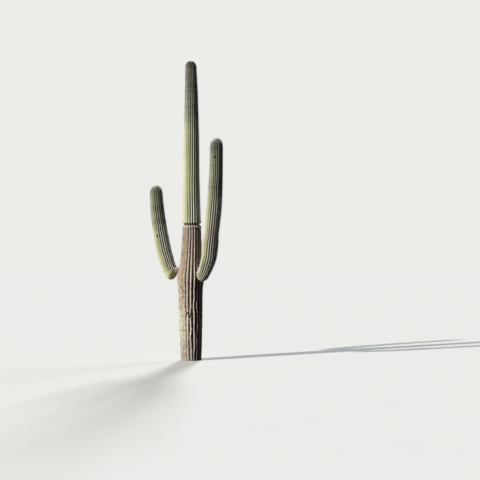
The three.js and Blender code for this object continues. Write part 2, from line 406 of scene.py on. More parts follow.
def arm_stem(name):
    arm = ARMS[name]
    reach, height, slope, radius = arm_sections(arm)
    along = np.concatenate([[0], np.cumsum(np.hypot(np.diff(reach), np.diff(height)))])
    length = along[-1] - TIP_INSET
    def step(s):
        return float(smooth(ARM_STEP, s / length))
    s = rows_by_step(length, step, ARM_DOME)
    places = np.append(s, length)
    reach, height, slope, radius = (np.interp(places, along, held) for held in (reach, height, slope, radius))
    azimuth = math.radians(arm["azimuth"])
    away = np.array([math.cos(azimuth), math.sin(azimuth), 0])
    up = np.array([0, 0, 1.0])
    centre = reach[:, None] * away + height[:, None] * up
    outward = np.sin(slope)[:, None] * away - np.cos(slope)[:, None] * up
    return {
        "name": name,
        "s": s,
        "length": length,
        "centre": centre[:-1],
        "outward": outward[:-1],
        "sideways": np.tile([-away[1], away[0], 0], (len(s), 1)),
        "tip": centre[-1],
        "radius": (radius[:-1] - SKIN_INSET) * dome_share(s, length, ARM_DOME["height"]),
        "ribs": ARM_RIBS,
        "neck": arm["crook"][0] - NECK_START,
        "pale_bend": arm["pale_bend"],
    }


# Masks: how far each look of the skin has taken over at each vertex

def ragged_edge(rng, around, s, cells):
    return 0.5 * noise(rng, around, s, cells, 6) + 0.5 * noise(rng, around, s, 2 * cells, 16)


def trunk_ages(stem, s, around, shady, rng):
    """How corky, straw-pale, dusty, bleached, grey and woolly the trunk is, and how stark its stripes of
    painted light and shade are. The straw ends lower on the shaded side, as painted shade.
    """
    ragged = ragged_edge(rng, around, s, stem["ribs"])
    cork = 1 - ease(*CORK_FADES, s - WAIST["z"] + RAGGED["cork"] * ragged)
    raised = s + RAGGED["straw"] * ragged + STRAW_LOWER_IN_SHADE * ease(*STRAW_SHADE, shady)
    patches = ease(*SCORCH["patches"], noise(rng, around, s, 11, 3))
    scorched = SCORCH["strength"] * patches * (1 - ease(*SCORCH["fades"], s))
    foot_dust = 1 - ease(*FOOT_DUST_FADES, s + RAGGED["foot_dust"] * ragged)
    return {
        "cork": np.clip(cork + scorched, 0, 1),
        "blush": np.zeros_like(s),
        "straw": sum(fades(*step, raised) for step in STRAW_FADES),
        "dust": foot_dust + comes(*WAIST_DUST, s + RAGGED["waist_dust"] * ragged),
        "bleach": 1 - ease(*TRUNK_BLEACH_FADES, s + RAGGED["bleach"] * ragged),
        "grey": comes(*TRUNK_ASH, s + RAGGED["ash"] * ragged) + comes(*TRUNK_TIP_ASH, s),
        "wool": fades(*TRUNK_WOOL, stem["length"] - s),
        "stark": bell(s - TRUNK_STARK["z"], TRUNK_STARK["spread"]) * ease(*TRUNK_STARK_SHADE, shady),
    }


def arm_ages(stem, s, around, shady, rng):
    """The same for an arm. Only the right arm has a blush, and stark stripes of painted light and shade all
    round its bend. The wool is shorter on the shaded side, as painted shade.
    """
    share = s / stem["length"]
    ragged = ragged_edge(rng, around, s, stem["ribs"])
    root = 1 - ease(*ROOT_FADES, s - stem["neck"] + ARM_RAGGED["root"] * ragged)
    blush = np.zeros_like(s)
    stark = (1 - ease(*ARM_STARK_FADES, share)) * ease(*ARM_STARK_SHADE, shady)
    if stem["name"] == "right_arm":
        patches = ease(-0.7, 0.2, noise(rng, around, s, 7, 4))
        blush = patches * bell(share - BLUSH_PATCH["share"], BLUSH_PATCH["spread"])
        stark = np.maximum(stark, bell(share - STARK_BEND["share"], STARK_BEND["spread"]))
    woolless = stem["length"] - s + ARM_RAGGED["wool"] * ragged + WOOL_SHORTER_IN_SHADE * ease(*WOOL_SHADE, shady)
    return {
        "cork": root,
        "blush": blush,
        "straw": np.zeros_like(s),
        "dust": np.zeros_like(s),
        "bleach": 1 - ease(*ARM_BLEACH_FADES, share + ARM_RAGGED["bleach"] * ragged),
        "grey": comes(*ARM_ASH, share + ARM_RAGGED["ash"] * ragged) + comes(*ARM_TIP_ASH, share),
        "wool": fades(*ARM_WOOL, woolless),
        "stark": stark * (1 - root),
    }


def crest_marks(is_trunk, s, rib):
    """How pale the crests are, in dashes with dull gaps on the arms, and the brown scabs on the cork."""
    beat = np.cos(2 * np.pi * s / DASH_LENGTH + np.pi * rib[None, :])
    if is_trunk:
        bright = bell(s - TRUNK_BRIGHT["z"], TRUNK_BRIGHT["spread"])
        return {"dash": 0.7 + 0.3 * bright, "gap": np.zeros_like(s), "scab": ease(0.2, 0.9, beat)}
    return {"dash": 0.6 + 0.4 * beat, "gap": 0.5 - 0.5 * beat, "scab": np.zeros_like(s)}


def oval(mark, facing, height, radius):
    """How far each vertex lies from the middle of a mark, where 1 is its edge."""
    across = np.radians(wrap(facing - mark["facing"])) * radius / mark["width"]
    return np.sqrt(across**2 + ((height - mark["z"]) / mark["height"]) ** 2)


def wounds(name, height, facing, radius):
    """What holes, knobs and cracks add to the radius, and the masks of callus and of painted shade in
    hollows.
    """
    change, scar, hollow = np.zeros((3, *height.shape))
    is_trunk = name == "trunk"
    for hole in TRUNK_HOLES if is_trunk else ARM_HOLES[name]:
        away = oval(hole, facing, height, radius)
        lip = HOLE_LIP["rise"] * bell(away - HOLE_LIP["over"], HOLE_LIP["spread"])
        change += lip - fades(hole["depth"], *HOLE_PIT, away)
        callus = bell(np.maximum(away - HOLE_CALLUS["over"], 0), HOLE_CALLUS["spread"])
        scar = np.maximum(scar, hole["callus"] * callus)
        hollow = np.maximum(hollow, 1 - ease(*HOLE_DARK, away))
    for knob in TRUNK_KNOBS if is_trunk else []:
        away = oval(knob, facing, height, radius)
        change += knob["rise"] * bell(away, KNOB_SPREAD)
        scar = np.maximum(scar, KNOB_CALLUS["strength"] * bell(away, KNOB_CALLUS["spread"]))
    for crack in TRUNK_CRACKS if is_trunk else []:
        turned = wrap(facing - crack["facing"])
        reach = 1 - ease(*CRACK_ENDS, np.abs(turned) / crack["reach"])
        wave = sum(size * np.sin(np.radians(turned * times)) for size, times in CRACK_WAVES)
        off = height - crack["z"] - (wave + crack["slope"] * turned)
        line = reach * bell(off, crack["tall"])
        change -= crack["depth"] * line
        callus = bell(off, CRACK_CALLUS["wider"] * crack["tall"])
        scar = np.maximum(scar, CRACK_CALLUS["strength"] * reach * callus)
        hollow = np.maximum(hollow, crack["dark"] * line)
    return change, scar, hollow


def waist_marks(over, scar, hollow):
    """The callus and the painted shade of the frost ring, laid over those of the wounds, by height over the
    ring.
    """
    hollow = np.maximum(hollow, WAIST_DARK["strength"] * bell(over, WAIST_DARK["spread"]))
    for band in WAIST_SCARS:
        scar = np.maximum(scar, band["strength"] * bell(over - band["over"], band["spread"]))
    return scar, hollow


# The grid of a stem's skin: one row a step, and one column a place across a rib

def grid_places(stem, rng):
    """Each column's place across its rib, its rib, and each vertex's place along the stem and round it."""
    ribs = stem["ribs"]
    way = np.tile(RIB_COLUMNS, ribs)
    rib = np.repeat(np.arange(ribs), len(RIB_COLUMNS))
    turn = (rib + way / 2 + (way < 0)) / ribs
    s = np.repeat(stem["s"][:, None], len(way), 1)
    around = np.repeat(turn[None, :], len(s), 0)
    wander = noise(rng, around, s, ribs // 2, 1.6) * RIB_WANDER / ribs
    if stem["name"] == "trunk":
        wander = wander + noise(rng, around, s, ribs, 5) * FOOT_WAVER / ribs * (1 - ease(*WAVER_FADES, s))
    return way, rib, s, around + wander * dome_share(s, stem["length"], WANDER_ENDS)


def directions(stem, around):
    """Outward from the stem at each vertex."""
    return (
        np.cos(2 * np.pi * around)[..., None] * stem["outward"][:, None, :]
        + np.sin(2 * np.pi * around)[..., None] * stem["sideways"][:, None, :]
    )


def shade_of(stem, facing, s):
    """How far each vertex faces away from the sun, 0 to 1, which deepens the grooves and paints light and
    shade into the colour. An arm's bend counts as sunnier than it is.
    """
    shady = 0.5 - 0.5 * np.cos(np.radians(facing - SUNNY_SIDE))
    if stem["name"] == "trunk":
        return shady
    return shady * (1 - stem["pale_bend"] * (1 - ease(*SUNLIT_BEND_FADES, s / stem["length"])))


def rib_depth(stem, s, around, shady, stark, rng):
    """The depth of the grooves as a share of the radius. They flatten at the waist and at the ground."""
    shaded = np.maximum(ease(*DEPTH_SHADE, shady), 0.8 * stark)
    uneven = 1 + DEPTH_UNEVEN * noise(rng, around, s, stem["ribs"], 2.2)
    depth = RIB_DEPTH * uneven * (DEPTH_SUNNY + DEPTH_ADDED * shaded)
    depth = depth * (1 + DEPTH_STARK * stark)
    if stem["name"] == "trunk":
        depth = depth * (1 - DEPTH_LOST["waist"] * bell(s - WAIST["z"], DEPTH_LOST["spread"]))
        depth = depth * (1 - fades(DEPTH_LOST["foot"], *FOOT_DEEPENS, s))
    return depth


def surface(stem, rng):
    """The points of a stem's skin with their masks, each column's place across its rib, and the pad rows."""
    name, ribs, length = stem["name"], stem["ribs"], stem["length"]
    is_trunk = name == "trunk"
    way, rib, s, around = grid_places(stem, rng)
    direction = directions(stem, around)
    facing = np.degrees(np.arctan2(direction[..., 1], direction[..., 0])) + 90
    shady = shade_of(stem, facing, s)
    ages = (trunk_ages if is_trunk else arm_ages)(stem, s, around, shady, rng)
    cork = ages["cork"]

    girth = 1 + GIRTH_UNEVEN * noise(rng, around, s, 3, 5) + GIRTH_LUMPS * noise(rng, around, s, 5, 14)
    radius = stem["radius"][:, None] * girth
    depth = rib_depth(stem, s, around, shady, ages["stark"], rng)
    ribbed = radius * (1 - depth * np.abs(way)[None, :] ** (GROOVE_POWER + CORK_POWER * cork))
    shift = rng.integers(0, PAD_EVERY, ribs)[rib]
    pad_row = (np.arange(len(s))[:, None] + shift[None, :]) % PAD_EVERY == 0
    swell = np.where(pad_row, PAD_SWELL, PAD_DIP) * (way == 0)[None, :] * (1 - cork)
    bark = BARK_FINE * noise(rng, around, s, ribs * 3, 55) + BARK_COARSE * noise(rng, around, s, ribs * 5, 24)
    grain = GRAIN_SIZE * noise(rng, around, s, ribs * 4, 90)
    offset = ribbed + (swell + bark * cork + grain) * dome_share(s, length, RELIEF_ENDS)

    height = stem["centre"][:, 2][:, None] + offset * direction[..., 2]
    change, scar, hollow = wounds(name, height, facing, radius)
    if is_trunk:
        scar, hollow = waist_marks(s - WAIST["z"], scar, hollow)
    else:
        hollow = np.maximum(hollow, ROOT_DARK * cork)
    points = stem["centre"][:, None, :] + (offset + change)[..., None] * direction
    groove = np.repeat(np.abs(way)[None, :], len(s), 0)
    masks = {"groove": groove, "shady": shady, "scar": scar, "hollow": hollow}
    masks |= crest_marks(is_trunk, s, rib) | ages
    return {"points": points, "masks": masks, "way": way, "pad_row": pad_row}


# Meshes from arrays

def boxed(points):
    """The points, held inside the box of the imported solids."""
    low, high = (np.array(end) for end in PACKED_BOX)
    return np.clip(points, low, high)


def mesh_object(name, points, groups, material, is_smooth):
    """A mesh object from an array of points and a list of face arrays, each with its own corner count."""
    mesh = bpy.data.meshes.new(name)
    mesh.vertices.add(len(points))
    mesh.vertices.foreach_set("co", np.ascontiguousarray(points, np.float32).ravel())
    corners = np.concatenate([np.full(len(faces), faces.shape[1]) for faces in groups])
    mesh.loops.add(int(corners.sum()))
    index = np.concatenate([faces.ravel() for faces in groups])
    mesh.loops.foreach_set("vertex_index", index.astype(np.int32))
    mesh.polygons.add(len(corners))
    starts = np.cumsum(corners) - corners
    mesh.polygons.foreach_set("loop_start", starts.astype(np.int32))
    mesh.polygons.foreach_set("use_smooth", np.full(len(corners), is_smooth))
    mesh.update(calc_edges=True)
    mesh.materials.append(material)
    obj = bpy.data.objects.new(name, mesh)
    bpy.context.scene.collection.objects.link(obj)
    return obj


def add_unwrapping(obj, rows, columns):
    """A map for baking: the stem unrolled, with its length along v. The caps take one corner."""
    i, j = np.meshgrid(np.arange(rows - 1), np.arange(columns), indexing="ij")
    left, right = j / columns, (j + 1) / columns
    low, high = i / (rows - 1), (i + 1) / (rows - 1)
    square = np.stack([left, low, right, low, right, high, left, high], -1) * 0.98 + 0.01
    corners = np.zeros((len(obj.data.loops), 2), np.float32)
    corners[: square.size // 2] = square.reshape(-1, 2)
    layer = obj.data.uv_layers.new(name="OFBake")
    layer.data.foreach_set("uv", corners.ravel())


def add_skin(name, grid, first, last, ends, material):
    """A closed skin from rows first to last of a stem's grid, with one point closing each end."""
    part = grid["points"][first:last + 1]
    rows, columns = part.shape[:2]
    i, j = np.meshgrid(np.arange(rows - 1), np.arange(columns), indexing="ij")
    here = i * columns + j
    beside = i * columns + (j + 1) % columns
    quads = np.stack([here, beside, beside + columns, here + columns], -1).reshape(-1, 4)
    j = np.arange(columns)
    after = (j + 1) % columns
    top = (rows - 1) * columns
    low_cap = np.stack([np.full(columns, rows * columns), after, j], 1)
    high_cap = np.stack([np.full(columns, rows * columns + 1), top + j, top + after], 1)
    points = boxed(np.concatenate([part.reshape(-1, 3), ends]))
    obj = mesh_object(name, points, [quads, low_cap, high_cap], material, is_smooth=True)
    add_unwrapping(obj, rows, columns)
    for mask, values in grid["masks"].items():
        held = values[first:last + 1].ravel()
        attribute = obj.data.attributes.new(mask, "FLOAT", "POINT")
        attribute.data.foreach_set("value", np.append(held, [held[0], held[-1]]).astype(np.float32))
    return obj


def add_skins(stem, grid, material):
    """One skin for an arm, and two for the trunk, which meet at the waist."""
    name = stem["name"]
    last = len(stem["s"]) - 1
    foot, tip = stem["centre"][0], stem["tip"]
    if name != "trunk":
        return [add_skin(name + "_skin", grid, 0, last, [foot, tip], material)]
    seam = int(np.searchsorted(stem["s"], WAIST["z"]))
    middle = stem["centre"][seam]
    return [
        add_skin("trunk_skin_lower", grid, 0, seam, [foot, middle], material),
        add_skin("trunk_skin_upper", grid, seam, last, [middle, tip], material),
    ]


# Pads and spines

def unit(vectors):
    return vectors / np.linalg.norm(vectors, axis=1, keepdims=True)


def pads_of(stem, grid, rng):
    """The place, outward and upward direction, and masks of each pad: on every third row of each crest, but
    not in holes, and fewer where the crests crowd and on the straw-pale bark."""
    points = grid["points"]
    rows, columns = points.shape[:2]
    row, column = np.nonzero(grid["pad_row"] & (grid["way"] == 0)[None, :])
    inside = (row > 2) & (row < rows - 2)
    row, column = row[inside], column[inside]
    along = points[row + 1, column] - points[row - 1, column]
    up = unit(along)
    across = unit(points[row, (column + 1) % columns] - points[row, (column - 1) % columns])
    out = unit(np.cross(across, up))
    held = {name: values[row, column] for name, values in grid["masks"].items()}
    gap = 2 * math.pi * stem["radius"][row] / stem["ribs"]
    pitch = 0.5 * PAD_EVERY * np.linalg.norm(along, axis=1)
    room = np.minimum(np.maximum(gap / PAD_ROOM["across"], PAD_ROOM["least"]), pitch / PAD_ROOM["along"])
    keep = (held["hollow"] < HOLE_BARE) & (rng.random(len(row)) < room)
    keep &= rng.random(len(row)) > STRAW_BARE * held["straw"]
    pads = {"place": points[row, column], "out": out, "up": up, "to_tip": stem["length"] - stem["s"][row]}
    return some(pads | held, keep)


def some(pads, chosen):
    return {name: values[chosen] for name, values in pads.items()}


def sorted_pads(name, pads):
    """The pads by what grows on them. Old ones stand on cork, dim ones are greyed by age or lie in a dash's
    gap on the shaded side, where they are dimmed as painted shade, pale ones stand where the stripes are
    stark and are whitened as a painted highlight, and those under the arms' tips stay white."""
    past = {mask: pads[mask] > limit for mask, limit in PAD_LIMITS.items()}
    old, stark = past["cork"], past["stark"]
    crown = pads["to_tip"] < CROWN
    dim = past["grey"] | (past["gap"] & past["shady"] & ~stark)
    grey = ~old & dim & (~crown | (name == "trunk"))
    plump = ~old & ~grey & ~crown
    groups = {
        "green": plump & ~stark,
        "pale": plump & stark,
        "grey": grey,
        "worn": old,
        "young": crown & ~grey,
        "crown": crown,
    }
    return {group: some(pads, chosen) for group, chosen in groups.items()}


def add_pads(name, pads, kind, material, rng):
    """Woolly cushions, longer along the rib than across, each a five-sided bead sunk in the crest."""
    count = len(pads["place"])
    size = kind["length"] * rng.uniform(*PAD_SIZES, (count, 1, 1))
    turn = 2 * np.pi * np.arange(PAD_SIDES) / PAD_SIDES
    along = (PAD_SHAPE["half_length"] * np.cos(turn))[None, :, None]
    across = (PAD_SHAPE["half_width"] * np.sin(turn))[None, :, None]
    up, out = pads["up"][:, None], pads["out"][:, None]
    side = np.cross(pads["out"], pads["up"])[:, None]
    middle = pads["place"][:, None] + PAD_SHAPE["lift"] * size * out
    ring = middle + size * (along * up + across * side)
    crown = middle + kind["rise"] * size * out
    root = middle - PAD_SHAPE["sunk"] * size * out
    points = np.concatenate([ring, crown, root], 1)
    corner = np.arange(PAD_SIDES)
    after = (corner + 1) % PAD_SIDES
    over = np.stack([corner, np.full(PAD_SIDES, PAD_SIDES), after], 1)
    under = np.stack([after, np.full(PAD_SIDES, PAD_SIDES + 1), corner], 1)
    faces = np.concatenate([over, under])
    index = (np.arange(count) * points.shape[1])[:, None, None] + faces[None]
    return mesh_object(name, boxed(points.reshape(-1, 3)), [index.reshape(-1, 3)], material, is_smooth=True)


def add_spines(name, pads, kind, material, rng):
    """Needles that spread from each pad, as slim three-sided points rooted in it."""
    pads = {key: np.repeat(values, kind["count"], 0) for key, values in pads.items()}
    count = len(pads["place"])
    side = np.cross(pads["out"], pads["up"])
    tilt = np.radians(rng.uniform(*kind["tilt"], count))[:, None]
    place = np.arange(count) % kind["count"] + rng.uniform(-SPINE_JITTER, SPINE_JITTER, count)
    turn = (2 * np.pi * place / kind["count"])[:, None]
    flat = np.cos(turn) * pads["up"] + np.sin(turn) * side
    aim = unit(np.cos(tilt) * pads["out"] + np.sin(tilt) * flat)
    young = 1 + YOUNG_LONGER["share"] * bell(pads["to_tip"], YOUNG_LONGER["spread"])
    long = (rng.uniform(*kind["length"], count) * young * (1 - CORKY_SHORTER * pads["cork"]))[:, None]
    first = unit(np.cross(aim, pads["up"] + 0.3 * side))
    second = np.cross(aim, first)
    root = pads["place"] + SPINE_ROOT["out"] * flat
    corner = 2 * np.pi * np.arange(SPINE_SIDES) / SPINE_SIDES
    ring = (
        (root - SPINE_ROOT["sunk"] * aim)[:, None]
        + 0.5 * kind["width"] * np.cos(corner)[None, :, None] * first[:, None]
        + 0.5 * kind["width"] * np.sin(corner)[None, :, None] * second[:, None]
    )
    points = np.concatenate([ring, (root + long * aim)[:, None]], 1)
    faces = np.array([[0, 1, 3], [1, 2, 3], [2, 0, 3], [0, 2, 1]])
    index = (np.arange(count) * points.shape[1])[:, None, None] + faces[None]
    return mesh_object(name, boxed(points.reshape(-1, 3)), [index.reshape(-1, 3)], material, is_smooth=False)


def growth(name):
    """Each piece that grows on a stem: the end of its name, its pads, its maker, its kind and its look."""
    bristle = "grey_spine" if name == "trunk" else "white_spine"
    return [
        ("pads", "green", add_pads, PAD, "wool"),
        ("radial_spines", "green", add_spines, RADIAL, "straw_spine"),
        ("central_spines", "green", add_spines, CENTRAL, "tan_spine"),
        # The pale pieces are whitened as a painted highlight where the stripes are stark
        ("pale_pads", "pale", add_pads, PAD, "white_wool"),
        ("pale_radial_spines", "pale", add_spines, RADIAL, "white_spine"),
        ("pale_central_spines", "pale", add_spines, CENTRAL, "white_spine"),
        ("tip_pads", "young", add_pads, PAD, "white_wool"),
        # The grey pieces stand on skin greyed by age, or are dimmed as painted shade in a dash's gap on the
        # shaded side
        ("grey_pads", "grey", add_pads, PAD, "grey_wool"),
        ("grey_radial_spines", "grey", add_spines, RADIAL, "grey_spine"),
        ("grey_central_spines", "grey", add_spines, CENTRAL, "dark_spine"),
        ("worn_pads", "worn", add_pads, WORN_PAD, "old_wool"),
        ("worn_spines", "worn", add_spines, WORN, "worn_spine"),
        ("tip_bristles", "crown", add_spines, BRISTLE, bristle),
    ]


# Materials

def new_material(name):
    material = bpy.data.materials.new(name)
    material.use_nodes = True
    tree = material.node_tree
    return material, tree, tree.nodes["Principled BSDF"]


def plain(name, color, roughness):
    material, _, shader = new_material(name)
    shader.inputs["Base Color"].default_value = color
    shader.inputs["Roughness"].default_value = roughness
    return material


class Nodes:
    """Short calls that add linked nodes to one material."""

    def __init__(self, tree):
        self.tree = tree
        self.place = tree.nodes.new("ShaderNodeTexCoord").outputs["Object"]

    def put(self, socket, value):
        if isinstance(value, bpy.types.NodeSocket):
            self.tree.links.new(value, socket)
        else:
            socket.default_value = value

    def mask(self, name):
        node = self.tree.nodes.new("ShaderNodeAttribute")
        node.attribute_name = name
        return node.outputs["Fac"]

    def math(self, operation, first, second, clamp=False):
        node = self.tree.nodes.new("ShaderNodeMath")
        node.operation = operation
        node.use_clamp = clamp
        self.put(node.inputs[0], first)
        self.put(node.inputs[1], second)
        return node.outputs[0]

    def times(self, first, second):
        return self.math("MULTIPLY", first, second)

    def stretched(self, scale):
        node = self.tree.nodes.new("ShaderNodeMapping")
        self.put(node.inputs["Vector"], self.place)
        node.inputs["Scale"].default_value = scale
        return node.outputs[0]

    def noise(self, scale, detail, stretch=(1, 1, 1)):
        node = self.tree.nodes.new("ShaderNodeTexNoise")
        self.put(node.inputs["Vector"], self.stretched(stretch))
        node.inputs["Scale"].default_value = scale
        node.inputs["Detail"].default_value = detail
        return node.outputs["Fac"]

    def cells(self, scale, stretch, warp):
        """The distance to the nearest edge of uneven cells, with the pattern pushed about by noise."""
        push = self.tree.nodes.new("ShaderNodeTexNoise")
        push.inputs["Scale"].default_value = 0.5 * scale
        self.put(push.inputs["Vector"], self.place)
        shift = self.tree.nodes.new("ShaderNodeVectorMath")
        shift.operation = "MULTIPLY_ADD"
        self.put(shift.inputs[0], push.outputs["Color"])
        shift.inputs[1].default_value = (warp, warp, warp)
        self.put(shift.inputs[2], self.stretched(stretch))
        node = self.tree.nodes.new("ShaderNodeTexVoronoi")
        node.feature = "DISTANCE_TO_EDGE"
        self.put(node.inputs["Vector"], shift.outputs["Vector"])
        node.inputs["Scale"].default_value = scale
        return node.outputs["Distance"]

    def between(self, low, high, value):
        """0 at low and 1 at high, smoothly, whichever of them is the greater."""
        node = self.tree.nodes.new("ShaderNodeMapRange")
        node.interpolation_type = "SMOOTHSTEP"
        self.put(node.inputs["Value"], value)
        node.inputs["From Min"].default_value = low
        node.inputs["From Max"].default_value = high
        return node.outputs["Result"]

    def mix(self, share, first, second):
        node = self.tree.nodes.new("ShaderNodeMix")
        node.data_type = "RGBA"
        self.put(node.inputs[0], share)
        self.put(node.inputs[6], first)
        self.put(node.inputs[7], second)
        return node.outputs[2]

    def tint(self, color, mask, share, tint):
        """The colour, turned towards the tint by a share of the mask."""
        return self.mix(self.times(mask, share), color, tint)


GREEN_DEEP = srgb(115, 124, 87)
GREEN_PALE = srgb(148, 155, 114)
# Painted shade in the grooves and in the dashes' gaps
GREEN_GROOVE_SHADE = srgb(52, 56, 44)
# Black painted shade in the grooves where the stripes are stark
GROOVE_BLACK_SHADE = srgb(30, 32, 24)
BLEACHED = srgb(196, 194, 142)
# The crests' colour as painted shade and as painted sunlight
CREST_IN_SHADE = srgb(224, 225, 217)
CREST_SUNLIT = srgb(216, 214, 180)
# A white painted highlight on the crests where the stripes are stark
CREST_HIGHLIGHT = srgb(248, 247, 240)
# Painted sunlight on the edge facing the sun, and painted shade on the side away from it
SUNNY_RIM = srgb(212, 208, 168)
GREEN_SHADE = srgb(90, 98, 84)
BLUSH = srgb(176, 152, 146)
WOOL = srgb(246, 245, 240)
GREY_TIP = srgb(92, 95, 91)
GREY_RING = srgb(62, 60, 50)
CORK_TAN = srgb(182, 168, 144)
CORK_PINK = srgb(176, 156, 146)
# Painted shade in the cork's grooves, also the dark of its fissures and grain; then painted shade on its
# shaded side
CORK_DARK_AND_GROOVE_SHADE = srgb(50, 36, 30)
CORK_SHADE = srgb(62, 52, 47)
CORK_RUST = srgb(186, 156, 122)
# A painted highlight on the cork's crests that the light rakes
CORK_CREST_HIGHLIGHT = srgb(238, 226, 218)
CORK_BROWN = srgb(108, 82, 62)
DUST = srgb(150, 141, 131)
STRAW = srgb(214, 208, 186)
# Painted shade in the straw's grooves
STRAW_GROOVE_SHADE = srgb(92, 76, 62)
STRAW_FLECK = srgb(142, 126, 106)
CALLUS = srgb(188, 174, 158)
# Painted shade in holes, cracks, the frost ring and the arms' roots
HOLLOW_SHADE_COLOR = srgb(16, 13, 10)

FLOOR_PALE = srgb(208, 208, 205)
FLOOR_PALER = srgb(211, 211, 208)
FLOOR_BOUNCE = srgb(43, 43, 42)
SKY_BLUE = srgb(196, 214, 240)
BACKDROP = srgb(236, 236, 233)

# Colour and roughness of the pads and spines
PLAIN_LOOKS = {
    "wool": (srgb(206, 201, 176), 0.95),
    "grey_wool": (srgb(140, 136, 120), 0.95),
    "old_wool": (srgb(88, 66, 50), 0.95),
    "straw_spine": (srgb(230, 225, 196), 0.6),
    "tan_spine": (srgb(200, 192, 164), 0.6),
    "grey_spine": (srgb(150, 144, 122), 0.6),
    "dark_spine": (srgb(118, 110, 90), 0.6),
    "worn_spine": (srgb(150, 136, 114), 0.7),
    "white_spine": (srgb(232, 231, 224), 0.6),
    "white_wool": (srgb(222, 221, 214), 0.95),
}


def skin_marks(n):
    """The masks and noises that both the green and the corky skin are painted by."""
    groove, shady = n.mask("groove"), n.mask("shady")
    return {
        "groove": groove,
        "shady": shady,
        "stark": n.mask("stark"),
        "in_groove": n.between(0.44, 0.92, groove),
        "shade_side": n.between(0.35, 0.85, shady),
        "patchy": n.noise(14, 5, (1, 1, 0.45)),
        "grain": n.noise(160, 4),
        "plates": n.cells(22, (1, 1, 1.9), 0.05),
    }


def green_skin(n, marks):
    """Waxy green ribs, pale on the crests, bleached low down and grey at the tips, with painted light and
    shade:
    a painted sunlit edge and shaded side, painted shade in the grooves and the dashes' gaps, and white crests
    with black grooves where the stripes are stark.
    """
    green = n.mix(n.between(0.36, 0.66, n.noise(3.2, 4)), GREEN_DEEP, GREEN_PALE)
    streaks = n.noise(70, 3, (1, 1, 0.06))
    green = n.tint(green, n.between(0.42, 0.68, streaks), 0.45, GREEN_PALE)
    bands = n.noise(6.5, 3, (0.10, 0.10, 1))
    green = n.tint(green, n.between(0.44, 0.60, bands), 0.40, GREEN_DEEP)
    green = n.tint(green, n.mask("bleach"), 0.32, BLEACHED)
    not_grey = n.math("SUBTRACT", 1.0, n.mask("grey"))
    # Painted sunlight on the edge that faces the sun, and painted shade on the side away from it
    green = n.tint(green, n.times(n.between(0.10, 0.0, marks["shady"]), not_grey), 0.50, SUNNY_RIM)
    green = n.tint(green, marks["shade_side"], 0.40, GREEN_SHADE)

    # Crests pale with their spines, in a sunlit or a shaded copy of their colour by how they face the sun,
    # and brighter and white as a painted highlight where the stripes are stark
    dash = n.math("ADD", n.mask("dash"), n.times(marks["stark"], 0.30), clamp=True)
    crest = n.mix(n.between(0.10, 0.45, marks["shady"]), CREST_SUNLIT, CREST_IN_SHADE)
    crest = n.mix(marks["stark"], crest, CREST_HIGHLIGHT)
    green = n.mix(n.times(n.between(0.44, 0.08, marks["groove"]), dash), green, crest)
    green = n.tint(green, n.mask("blush"), 0.70, BLUSH)
    # Painted shade in the dashes' gaps on the shaded side, and in the grooves, growing away from the sun and
    # black where the stripes are stark
    green = n.tint(green, n.times(n.mask("gap"), n.between(0.20, 0.42, marks["shady"])), 0.60, GREEN_GROOVE_SHADE)
    away_from_sun = n.math("ADD", 0.12, n.between(0.05, 0.55, marks["shady"]))
    groove_shade = n.math("MULTIPLY", marks["in_groove"], away_from_sun, clamp=True)
    green = n.tint(green, groove_shade, 0.92, GREEN_GROOVE_SHADE)
    green = n.tint(green, n.times(marks["in_groove"], marks["stark"]), 0.85, GROOVE_BLACK_SHADE)

    ash = n.times(n.mask("grey"), n.between(0.20, 0.55, marks["patchy"]))
    green = n.tint(green, ash, 0.80, GREY_TIP)
    rings = n.between(0.48, 0.60, n.noise(11, 2, (0.08, 0.08, 1)))
    return n.tint(green, n.times(rings, n.mask("grey")), 0.65, GREY_RING)


def cork_skin(n, marks):
    """Cracked bark, tan, pink and rusty with brown scabs and specks, and straw-pale near the ground, with
    painted shade in its grooves and on its shaded side, and painted highlights on the crests that the light
    rakes.
    """
    cork = n.mix(n.between(0.40, 0.62, marks["patchy"]), CORK_TAN, CORK_PINK)
    cork = n.tint(cork, n.between(0.50, 0.64, n.noise(5.5, 4)), 0.55, CORK_RUST)
    # Painted shade in the grooves of the cork and of the straw, growing away from the sun
    away_from_sun = n.math("ADD", 0.22, n.between(0.03, 0.36, marks["shady"]))
    groove_shade = n.math("MULTIPLY", marks["in_groove"], away_from_sun, clamp=True)
    cork = n.tint(cork, groove_shade, 0.96, CORK_DARK_AND_GROOVE_SHADE)
    straw = n.tint(STRAW, groove_shade, 0.90, STRAW_GROOVE_SHADE)
    cork = n.mix(n.mask("straw"), cork, straw)

    mottle = n.between(0.54, 0.62, n.noise(24, 4, (1, 1, 0.6)))
    cork = n.tint(cork, mottle, 0.62, CORK_BROWN)
    cork = n.tint(cork, n.times(n.between(0.5, 0.1, marks["groove"]), n.mask("scab")), 0.50, CORK_BROWN)
    # A painted highlight on the crests that the light rakes
    lit_crest = n.times(n.between(0.48, 0.16, marks["groove"]), n.between(0.12, 0.34, marks["shady"]))
    cork = n.tint(cork, lit_crest, 0.85, CORK_CREST_HIGHLIGHT)
    cork = n.tint(cork, n.mask("dust"), 0.62, DUST)
    # Painted shade on the side away from the sun
    cork = n.tint(cork, marks["shade_side"], 0.40, CORK_SHADE)
    flecks = n.times(n.between(0.50, 0.66, n.noise(48, 4, (1, 1, 0.22))), n.mask("straw"))
    cork = n.tint(cork, flecks, 0.60, STRAW_FLECK)
    cork = n.tint(cork, n.between(0.07, 0.0, marks["plates"]), 0.35, CORK_DARK_AND_GROOVE_SHADE)
    return n.tint(cork, n.between(0.52, 0.72, marks["grain"]), 0.30, CORK_DARK_AND_GROOVE_SHADE)


